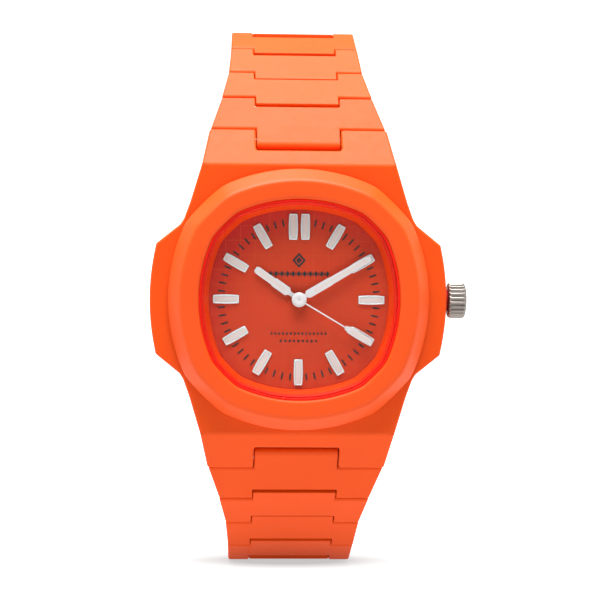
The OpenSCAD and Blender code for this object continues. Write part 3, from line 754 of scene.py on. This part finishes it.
def case():
    """Case middle with ears and lugs, hollowed for the movement and bored for the crown."""
    ear, ear_bow = 20.85, 33.6            # half width over the ears, and the radius of their sides
    corner_z, corner_r = 7.73, 0.55       # where an ear's side begins
    side_z = 7.18                         # how far from the middle that side's arc reaches
    shoulder = 18.9                       # where the lugs begin to slope back
    under = -0.6                          # the underside, in Y
    link_face, beyond = 20.91, 27         # the notch for the first link's tongue
    side = [((12.4, 24.6), 0), ((13.65, shoulder), 3.0), ((15.25, 13.6), 3.0), ((16.1, 11.25), 0.9),
            ((16.6, 10.45), 1.0), ((19.97, corner_z), corner_r)]
    bow = []
    for k in range(0, 9):
        z = corner_z - corner_r - (side_z * k / 8)
        bow.append((ear - ear_bow + math.sqrt(ear_bow ** 2 - z * z), z))
    quarter = side + [(p, 0) for p in bow]
    down = [((x, -z), r) for (x, z), r in reversed(quarter[:-1])]
    right = quarter + down
    full = right + [((-x, z), r) for (x, z), r in reversed(right)]
    outline = rounded([p for p, r in full], [r for p, r in full], 6)
    body = mesh_of(*prism(outline, -2.0, FRONT, head))
    upper = [(-FRONT - 1, 0), (-FRONT - 1, shoulder), (-FRONT, shoulder), from_lug(0.72, 1.75),
             from_lug(0.72, -0.2), from_lug(-0.1, -LINK_HALF), (under, 17.2), (under, 0)]
    profile = upper[:-1] + [(y, -z) for y, z in reversed(upper[1:-1])]
    cuts = [tube(12.9, -3, 9, head, 96),                # room for the movement
            tube(15.66, -3, 1.0, head, 96),             # seat of the case back
            tube(1.2, 10, 22, place_stem, 48),          # bore of the crown tube
            tube(1.95, 19.95, 23, place_stem, 64)]      # recess round the crown's seal
    for s in (-1, 1):
        notch = [(-9, s * link_face), (4, s * link_face), (4, s * beyond), (-9, s * beyond)]
        if s < 0:
            notch.reverse()
        cuts.append(prism(notch, -NOTCH, NOTCH, place_x))
    steps = [("INTERSECT", mesh_of(*prism(profile, -30, 30, place_x)))]
    steps += [("DIFFERENCE", mesh_of(*cut)) for cut in cuts]
    mesh = carve(body, steps)
    finish_piece("case_shell", mesh, "orange", "case", ("case_middle",), slot="orange_plastic",
                 bevel=0.32, segments=4, angle=22)


# -------------------- bracelet

PINS = [LUG_PIN]
for t in TILT:
    PINS.append((PINS[-1][0] + PITCH * math.sin(math.radians(t)),
                 PINS[-1][1] + PITCH * math.cos(math.radians(t))))


def link_mesh(w0, w1, first):
    """One link in its own frame: x across, u along from the first pin, v out of the band."""
    h = LINK_HALF
    s0, s1 = 0.88, 5.12         # the shoulders, and the bottom of the notch
    end = PITCH + END_RISE

    def w(u):
        return (w0 + (w1 - w0) * (u - s0) / (end - s0)) / 2

    if first:
        tip = [(-2.2, 0.7), (-2.14, 1.08), (-1.9, 1.36), (-1.5, h)]
        low = [(-0.1, -h), (-1.42, -0.3)]
    else:
        tip = [(-0.86, 0.0), (-0.8, 0.3), (-0.8, h)]
        low = [(-0.1, -h), (-0.5, -0.7), (-0.78, -0.36)]
    side = tip + [(s0, h), (s0, -h)] + low
    bm = bmesh.new()
    crease = bm.edges.layers.float.new("bevel_weight_edge")

    def vert(x, u, v):
        return bm.verts.new((x * MM, u * MM, v * MM))

    # tongue: one prism of the side profile, open where it meets the body
    left = [vert(-TONGUE, u, v) for u, v in side]
    right = [vert(TONGUE, u, v) for u, v in side]
    n = len(side)
    joint = len(tip)
    bm.faces.new(left)
    bm.faces.new(right[::-1])
    for i in range(n):
        j = (i + 1) % n
        if i == joint:
            continue
        bm.faces.new((left[j], left[i], right[i], right[j]))
    # body: shoulders, sides, inner floor and the notch between the wings. A corner's name gives its side
    # (l, r), its place (s shoulder, i bottom of the notch, e wing's inner side, o outer side) and its
    # height (t, m, b); lt to rb are the tongue's
    c = {"lt": left[joint], "lb": left[joint + 1], "rt": right[joint], "rb": right[joint + 1]}
    low_end = PITCH - 0.1
    for name, x, u, v in (("lst", -w(s0), s0, h), ("lsb", -w(s0), s0, -h),
                          ("rst", w(s0), s0, h), ("rsb", w(s0), s0, -h),
                          ("lit", -NOTCH, s1, h), ("lib", -NOTCH, s1, -h), ("rit", NOTCH, s1, h),
                          ("rib", NOTCH, s1, -h), ("let", -NOTCH, end, h), ("ret", NOTCH, end, h),
                          ("lot", -w(end), end, h), ("rot", w(end), end, h),
                          ("lem", -NOTCH, end, -0.2), ("rem", NOTCH, end, -0.2),
                          ("lom", -w(end), end, -0.2), ("rom", w(end), end, -0.2),
                          ("leb", -NOTCH, low_end, -h), ("reb", NOTCH, low_end, -h),
                          ("lob", -w(low_end), low_end, -h), ("rob", w(low_end), low_end, -h)):
        c[name] = vert(x, u, v)
    for names in ("lst lsb lb lt", "rt rb rsb rst", "lst lt rt rst rot ret rit lit let lot",
                  "lsb lob leb lib rib reb rob rsb rb lb", "lsb lst lot lom lob",
                  "rst rsb rob rom rot", "lit rit rib lib", "lit lib leb lem let",
                  "rit ret rem reb rib", "let lem lom lot", "ret rot rom rem",
                  "lem leb lob lom", "rem rom rob reb"):
        bm.faces.new([c[name] for name in names.split()])
    bmesh.ops.recalc_face_normals(bm, faces=bm.faces)
    # how much each edge is rounded: the shoulders most, then the sides and wing ends, then the tongue's
    # tip, and not at all where the tongue meets the body
    for e in bm.edges:
        if len(e.link_faces) != 2 or e.calc_face_angle(0) < math.radians(12):
            continue
        p, q = e.verts[0].co / MM, e.verts[1].co / MM
        on_top = min(p.z, q.z) > h - 0.01
        at_shoulder = max(abs(p.y - s0), abs(q.y - s0)) < 0.01
        at_tongue = max(abs(abs(p.x) - TONGUE), abs(abs(q.x) - TONGUE)) < 0.01
        outside = min(abs(p.x), abs(q.x)) > NOTCH + 0.15
        weight = 0.35
        if on_top and at_shoulder:
            weight = 1.0
        elif on_top and outside:
            weight = 0.55 if abs(p.y - q.y) > 1 else 0.4
        elif outside and at_shoulder:
            weight = 0.6
        elif on_top and min(p.y, q.y) < -0.5 and not first:
            weight = 0.3
        elif at_shoulder and at_tongue:
            weight = 0.0
        e[crease] = weight
    mesh = bpy.data.meshes.new("link")
    bm.to_mesh(mesh)
    bm.free()
    return mesh


def link_matrix(k, upper):
    """Where link k lies; the lower half of the band is the upper one turned over."""
    y, z = PINS[k - 1]
    m = Matrix.Translation(Vector((0, y * MM, z * MM))) @ Matrix.Rotation(
        math.radians(90 - TILT[k - 1]), 4, "X")
    return m if upper else Matrix.Rotation(math.pi, 4, "Y") @ m


def pin_mesh(r, half, at):
    """Steel pin with chamfered ends, running across at point (u, v) of a link."""
    rows = ((-half, r * 0.7), (-half + 0.08, r), (half - 0.08, r), (half, r * 0.7))
    return loft([x_ring(x, rr, at, 32) for x, rr in rows], caps=(True, True))


def links():
    """Nine links with pins on each side; each edge is rounded by its share of 0.5 mm."""
    for k in range(1, 10):
        for upper in (True, False):
            word = "upper" if upper else "lower"
            body = f"band_{word}_{k}"
            mesh = link_mesh(WIDTH[k - 1], WIDTH[k], k == 1)
            mesh.transform(link_matrix(k, upper))
            obj = finish_piece(f"{word}_band_{k}", mesh, "orange", body,
                               (f"{word}_link_{k}",), slot="orange_plastic")
            b = obj.modifiers.new("edges", "BEVEL")
            b.width = 0.5 * MM
            b.segments = 4
            b.limit_method = "WEIGHT"
            b.use_clamp_overlap = False
            b.miter_outer = "MITER_ARC"
            obj.modifiers.move(1, 0)
            pin = mesh_of(*pin_mesh(0.4, 8.2, (PITCH, 0)), name="pin")
            pin.transform(link_matrix(k, upper))
            p = finish_piece(f"{word}_pin_{k}", pin, "polished", body)


# -------------------- crown


def crown():
    """Fluted knob with a domed end, and the seal's collar behind it."""
    flutes, knob_x = 24, 21.25
    n = flutes * 8

    def ring(r, depth, x):
        """Ring of the knob, its flutes cut to a depth; the power makes them narrower than the ridges."""
        out = []
        for k in range(n):
            a = 2 * math.pi * k / n
            t = (math.cos(flutes * a) + 1) / 2
            rr = r - depth * (t ** 1.6)
            out.append((knob_x + x, -STEM_H + rr * math.cos(a), rr * math.sin(a)))
        return out
    rows = ((1.2, 0, 0.0), (2.1, 0, 0.0), (2.3, 0, 0.03), (2.42, 0.08, 0.14), (2.52, 0.22, 0.30),
            (2.55, 0.28, 0.42), (2.55, 0.28, 2.02), (2.52, 0.24, 2.16), (2.42, 0.10, 2.32),
            (2.28, 0.0, 2.42), (2.20, 0, 2.45), (2.12, 0, 2.44), (2.05, 0, 2.47), (1.9, 0, 2.53),
            (1.5, 0, 2.60), (1.0, 0, 2.65), (0.5, 0, 2.68), (0.12, 0, 2.69))
    v, f = loft([ring(*row) for row in rows], caps=(True, True))
    piece("crown_knob", v, f, "crown", "crown_unit", ("crown",), slot="crown_steel")
    # the collar's dark red is painted shade of the case round the crown
    rows = ((20.21, 0.5), (20.21, 1.55), (20.30, 1.68), (20.45, 1.7), (20.97, 1.7), (21.09, 1.64),
            (21.15, 1.5), (21.22, 1.45), (21.22, 0.5))
    v, f = loft([x_ring(x, r, (-STEM_H, 0), 64) for x, r in rows], closed=True)
    piece("crown_collar", v, f, "neck", "crown_slide", ("crown_gasket",), slot="gasket_red")


# -------------------- case back


def back():
    """Round case back with a turned groove, and four slotted screws in counterbores."""
    outer = [(0.4, 0.0), (6.0, 0.0), (10.9, 0.0), (11.0, 0.03), (11.05, 0.10), (11.25, 0.10),
             (11.3, 0.03), (11.4, 0.0), (13.5, 0.0), (15.25, 0.0), (15.42, 0.04), (15.54, 0.12),
             (15.6, 0.26), (15.6, 0.98), (12.62, 0.98), (12.6, 1.02), (12.6, 1.42), (12.52, 1.5),
             (0.4, 1.5)]
    screw = ((0.45, 3.0), (0.45, 0.52), (0.78, 0.5), (0.8, 0.46), (0.8, 0.16), (0.72, 0.09), (0.4, 0.08))
    slot_half, slot_depth = 0.11, 0.26
    holes, screws, slots = [], [], []
    for k in range(4):
        a = math.radians(45 + 90 * k)
        at = (SCREW_RING * math.cos(a), SCREW_RING * math.sin(a))

        def place(p, q, c):
            return head(p + at[0], q + at[1], c)
        holes += [tube(0.85, -1, 0.5, place, 40), tube(0.5, -1, 2, place, 32)]
        screws.append(loft([circle_ring(r, h, 40, at) for r, h in screw], caps=(True, True)))
        turn = math.radians(20 + 55 * k)
        bar = [(-1.0, -slot_half), (1.0, -slot_half), (1.0, slot_half), (-1.0, slot_half)]
        bar = [(x * math.cos(turn) - z * math.sin(turn) + at[0],
                x * math.sin(turn) + z * math.cos(turn) + at[1]) for x, z in bar]
        slots.append(prism(bar, -0.2, slot_depth, head))
    base = mesh_of(*loft([circle_ring(r, h, 128) for r, h in outer], caps=(True, True)))
    mesh = carve(base, [("DIFFERENCE", mesh_of(*hole)) for hole in holes])
    finish_piece("back_plate", mesh, "turned", "case", ("case_back",), slot="steel_brushed",
                 bevel=0.05, segments=2, angle=40)
    mesh = carve(mesh_of(*join(*screws)), [("DIFFERENCE", mesh_of(*slot)) for slot in slots])
    finish_piece("back_screws", mesh, "polished", "case", ("case_back_screws",),
                 slot="steel_polished", bevel=0.02, segments=2, angle=40)


case()
links()
crown()
back()


# -------------------- clasp

CY, CZ = PINS[9]


def box_part(y0, y1, z0, z1, w, x=0.0):
    """Block w wide about x, between two heights in Y and in Z."""
    pts = [(y0, z0), (y1, z0), (y1, z1), (y0, z1)]
    return prism(pts, x - w / 2, x + w / 2, place_x)


def round_x(p, r, w, x=0.0, n=48):
    """Round bar along X, w long about x, at point p of the side view."""
    return tube(r, x - w / 2, x + w / 2, lambda a, b, c: (c, p[0] + a, p[1] + b), n)


def fused(first, others, cuts):
    """One mesh of a block, what is joined to it and what is cut from it."""
    steps = [("UNION", mesh_of(*o)) for o in others] + [("DIFFERENCE", mesh_of(*c)) for c in cuts]
    return carve(mesh_of(*first), steps)


def clasp():
    """Two folding blades, their pins, the cover and its push buttons."""
    fold_a = (CY - 0.24, 13.5)
    fold_b = (CY + 0.26, -13.5)
    band_end = (CY, -CZ)
    knuckle, pin_hole, loose, tight = 0.75, 0.43, 0.38, 0.36        # radii
    blade_w, blade_end, slot_w = 10, 12.4, 3.4
    ear_w, ear_x = 2.4, 3.8             # the outer blade's two ears
    inner_y, outer_y = (CY - 1.44, CY - 0.64), (CY - 0.24, CY + 0.51)
    mesh = fused(box_part(*inner_y, -CZ, blade_end, blade_w),
                 [box_part(*inner_y, 12.2, fold_a[1], 5), round_x(band_end, knuckle, 11.6),
                  box_part(inner_y[0], CY, -CZ, 0.36 - CZ, blade_w),
                  round_x(fold_a, knuckle, 5)],
                 [round_x(band_end, pin_hole, 14, n=40), round_x(fold_a, loose, 14, n=40),
                  box_part(CY - 2, CY, -9, 7, slot_w)])
    finish_piece("fold_inner", mesh, "brushed", "inner_fold", ("inner_blade",),
                 slot="steel_brushed", bevel=0.12, segments=3, angle=35)
    mesh = fused(box_part(*outer_y, -blade_end, blade_end, blade_w),
                 [box_part(*outer_y, 12.2, fold_a[1], ear_w, s * ear_x) for s in (-1, 1)]
                 + [round_x(fold_a, knuckle, ear_w, s * ear_x) for s in (-1, 1)]
                 + [box_part(*outer_y, fold_b[1], -12.2, 7), round_x(fold_b, knuckle, 7)],
                 [round_x(fold_b, loose, 14, n=40), round_x(fold_a, tight, 9, n=40),
                  box_part(CY - 1, CY + 1, -7, 7, slot_w)])
    finish_piece("fold_outer", mesh, "brushed", "outer_fold", ("outer_blade",),
                 slot="steel_brushed", bevel=0.12, segments=3, angle=35)
    for name, at, body, half in (("fold_pin_a", fold_a, "outer_fold", 4.4),
                                 ("fold_pin_b", fold_b, "cover", 4.9)):
        rows = ((-half, 0.22), (-half + 0.1, 0.35), (half - 0.1, 0.35), (half, 0.22))
        v, f = loft([x_ring(x, r, at, 32) for x, r in rows], caps=(True, True))
        o = piece(name, v, f, "polished", body)
    # cover: folded sheet with side walls, a pressed frame of grooves and slots for the buttons
    lo, hi = CY + 1.26, CY + 2.46
    groove = (-16.6, 16.9)
    parts = [box_part(CY - 0.4, hi - 0.1, 16, 19.1, 11.8), box_part(CY - 0.4, lo + 0.2, 19, 19.7, 11.8)]
    parts += [box_part(CY - 1.1, hi - 0.05, -18, 18, 1.2, s * 8.4) for s in (-1, 1)]
    parts += [box_part(fold_b[0], lo + 0.1, fold_b[1] - knuckle, fold_b[1] + knuckle, 1.6, s * 4.4)
              for s in (-1, 1)]
    parts += [round_x(fold_b, knuckle, 1.6, s * 4.4) for s in (-1, 1)]
    cuts = [round_x(fold_b, tight, 10, n=40)]
    cuts += [box_part(CY - 0.35, CY + 1.15, 3.9, 9.1, 3, s * 8.4) for s in (-1, 1)]
    cuts += [box_part(hi - 0.18, hi + 1, *groove, 0.35, s * 6.2) for s in (-1, 1)]
    cuts += [box_part(hi - 0.14, hi + 1, z - 0.14, z + 0.14, 11.2) for z in groove]
    mesh = fused(box_part(lo, hi, -18.9, 19.1, 18), parts, cuts)
    finish_piece("cover_shell", mesh, "brushed", "cover", ("clasp_cover",),
                 slot="steel_brushed", bevel=0.16, segments=3, angle=35)
    for s, word in ((-1, "left"), (1, "right")):
        ribs = [box_part(CY - 0.4, CY + 1.2, z - 0.13, z + 0.13, 0.3, s * 9.62)
                for z in (4.9, 5.7, 6.5, 7.3, 8.1)]
        mesh = fused(box_part(CY - 0.25, CY + 1.05, 4, 9, 2, s * 8.6),
                     [box_part(CY - 0.55, CY + 1.15, 3.5, 9.5, 0.5, s * 7.45)], ribs)
        finish_piece(f"push_pad_{word}", mesh, "polished", f"push_{word}", (f"button_{word}",),
                     slot="steel_polished", bevel=0.1, segments=2, angle=35)


clasp()

# -------------------- carried-over CAD nodes

CAD_LOOK = {
    "movement_holder": "holder", "main_plate": "plate", "train_bridge": "brass",
    "circuit_board": "board", "coil": "copper", "stator": "plate", "battery": "turned",
    "battery_clamp": "brass", "movement_screws": "polished", "crown_tube": "brass",
    "case_back_gasket": "black", "lug_spring_bars": "polished", "stem": "polished",
    "sliding_pinion": "polished", "setting_lever": "brushed", "rotor": "polished",
    "intermediate_wheel": "brass", "second_wheel": "brass", "third_wheel": "brass",
    "center_wheel": "brass", "cannon_pinion": "brass", "minute_wheel": "brass",
    "hour_wheel": "brass",
}
for name, look in CAD_LOOK.items():
    obj = nodes[name]
    if not obj.material_slots:
        obj.data.materials.append(mats[look])
    for s in obj.material_slots:
        s.material = mats[look]

# -------------------- floor, light, camera

scene = bpy.context.scene
FLOOR = 3.0         # half the floor's side, in metres
WALL = 2.9          # from the middle to each wall and the ceiling, in metres
floor_mesh = bpy.data.meshes.new("floor")
floor_mesh.from_pydata([(-FLOOR, -FLOOR, 0), (FLOOR, -FLOOR, 0), (FLOOR, FLOOR, 0), (-FLOOR, FLOOR, 0)],
                       [], [(0, 1, 2, 3)])
floor = add_object("floor", floor_mesh)
floor.location.z = cad_bounds[0].z
# the floor's glow is painted lower under the watch as a painted shadow, and it glows white further off;
# that glow also lights the band from below, standing in for light bounced off a floor
white = Tree("floor_glow_painted_shadow", (0.08, 0.075, 0.075), 0.9)
white.bsdf.inputs["Specular IOR Level"].default_value = 0.0
white.bsdf.inputs["Emission Color"].default_value = (1, 1, 1, 1)
near = white.node("VectorMath")
near.operation = "MULTIPLY_ADD"
white.link(white.coord.outputs["Object"], near.inputs[0])
near.inputs[1].default_value = (0.5, 1.0, 1.0)
near.inputs[2].default_value = (0, -0.0195, 0)
off = white.node("VectorMath")
off.operation = "LENGTH"
white.link(near.outputs[0], off.inputs[0])
# painted shadow: the glow drops from 1.55 to 0.55 close to where the band meets the floor
glow_with_painted_shadow = white.ramp(off.outputs["Value"], 0.004, 0.016, 0.55, 1.55)
white.link(glow_with_painted_shadow, white.bsdf.inputs["Emission Strength"])
floor_mesh.materials.append(white.mat)
# far walls and a ceiling keep the background white; the front one and the ceiling are seen by the
# camera only, the others in reflections too
glow = Tree("backdrop_white", (0.5, 0.5, 0.5), 0.9)
glow.bsdf.inputs["Emission Color"].default_value = (1, 1, 1, 1)
glow.bsdf.inputs["Emission Strength"].default_value = 1.0
corners = [(x * WALL, y * WALL, z * WALL) for z in (-1, 1)
           for x, y in ((-1, -1), (1, -1), (1, 1), (-1, 1))]
for name, faces, mirrored in (
        ("backdrop_front", [(0, 1, 5, 4), (4, 5, 6, 7)], False),
        ("backdrop_sides", [(1, 2, 6, 5), (2, 3, 7, 6), (3, 0, 4, 7)], True)):
    wall_mesh = bpy.data.meshes.new(name)
    wall_mesh.from_pydata(corners, [], faces)
    wall_mesh.materials.append(glow.mat)
    wall = add_object(name, wall_mesh)
    wall.visible_diffuse = False
    wall.visible_glossy = mirrored
    wall.visible_transmission = False
    wall.visible_shadow = False

world = bpy.data.worlds.new("studio")
scene.world = world
world.use_nodes = True
bg = world.node_tree.nodes["Background"]
bg.inputs[0].default_value = (1, 1, 1, 1)
bg.inputs[1].default_value = 0.17


def lamp(name, at, size, power, mirrored=True):
    """Square lamp aimed at the middle of the watch; mirrored says whether steel reflects it."""
    data = bpy.data.lights.new(name, "AREA")
    data.shape = "SQUARE"
    data.size = size
    data.energy = power
    obj = add_object(name, data)
    obj.visible_camera = False
    obj.visible_glossy = mirrored
    obj.location = at
    obj.rotation_euler = (-Vector(at)).to_track_quat("-Z", "Y").to_euler()


lamp("top_softbox", (-0.03, -0.075, 0.48), 0.42, 9.4)
lamp("rim_left", (-0.45, 0.18, 0.06), 0.30, 1.6, mirrored=False)
lamp("rim_right", (0.45, 0.18, 0.06), 0.30, 2.6, mirrored=False)

yaw, rise, roll = math.radians(3.1), math.radians(1.0), math.radians(0.45)
DIST = 0.300        # from the camera to its target, in metres
PICTURE = 0.0831    # width of the view there, in metres
SENSOR = 36         # in millimetres
target = Vector((0.0, -0.0096, 0.0))
direction = Vector((-math.sin(yaw) * math.cos(rise), -math.cos(yaw) * math.cos(rise), math.sin(rise)))
cam_data = bpy.data.cameras.new("camera")
cam = add_object("camera", cam_data)
cam.location = target + direction * DIST
look = (-direction).to_track_quat("-Z", "Y").to_matrix().to_4x4()
cam.matrix_world = Matrix.Translation(cam.location) @ look @ Matrix.Rotation(roll, 4, "Z")
cam_data.sensor_width = SENSOR
cam_data.lens = SENSOR * DIST / PICTURE
cam_data.clip_start = 0.01
cam_data.clip_end = 20
scene.camera = cam

scene.view_settings.view_transform = "Standard"
scene.view_settings.look = "None"
scene.view_settings.exposure = 0.0
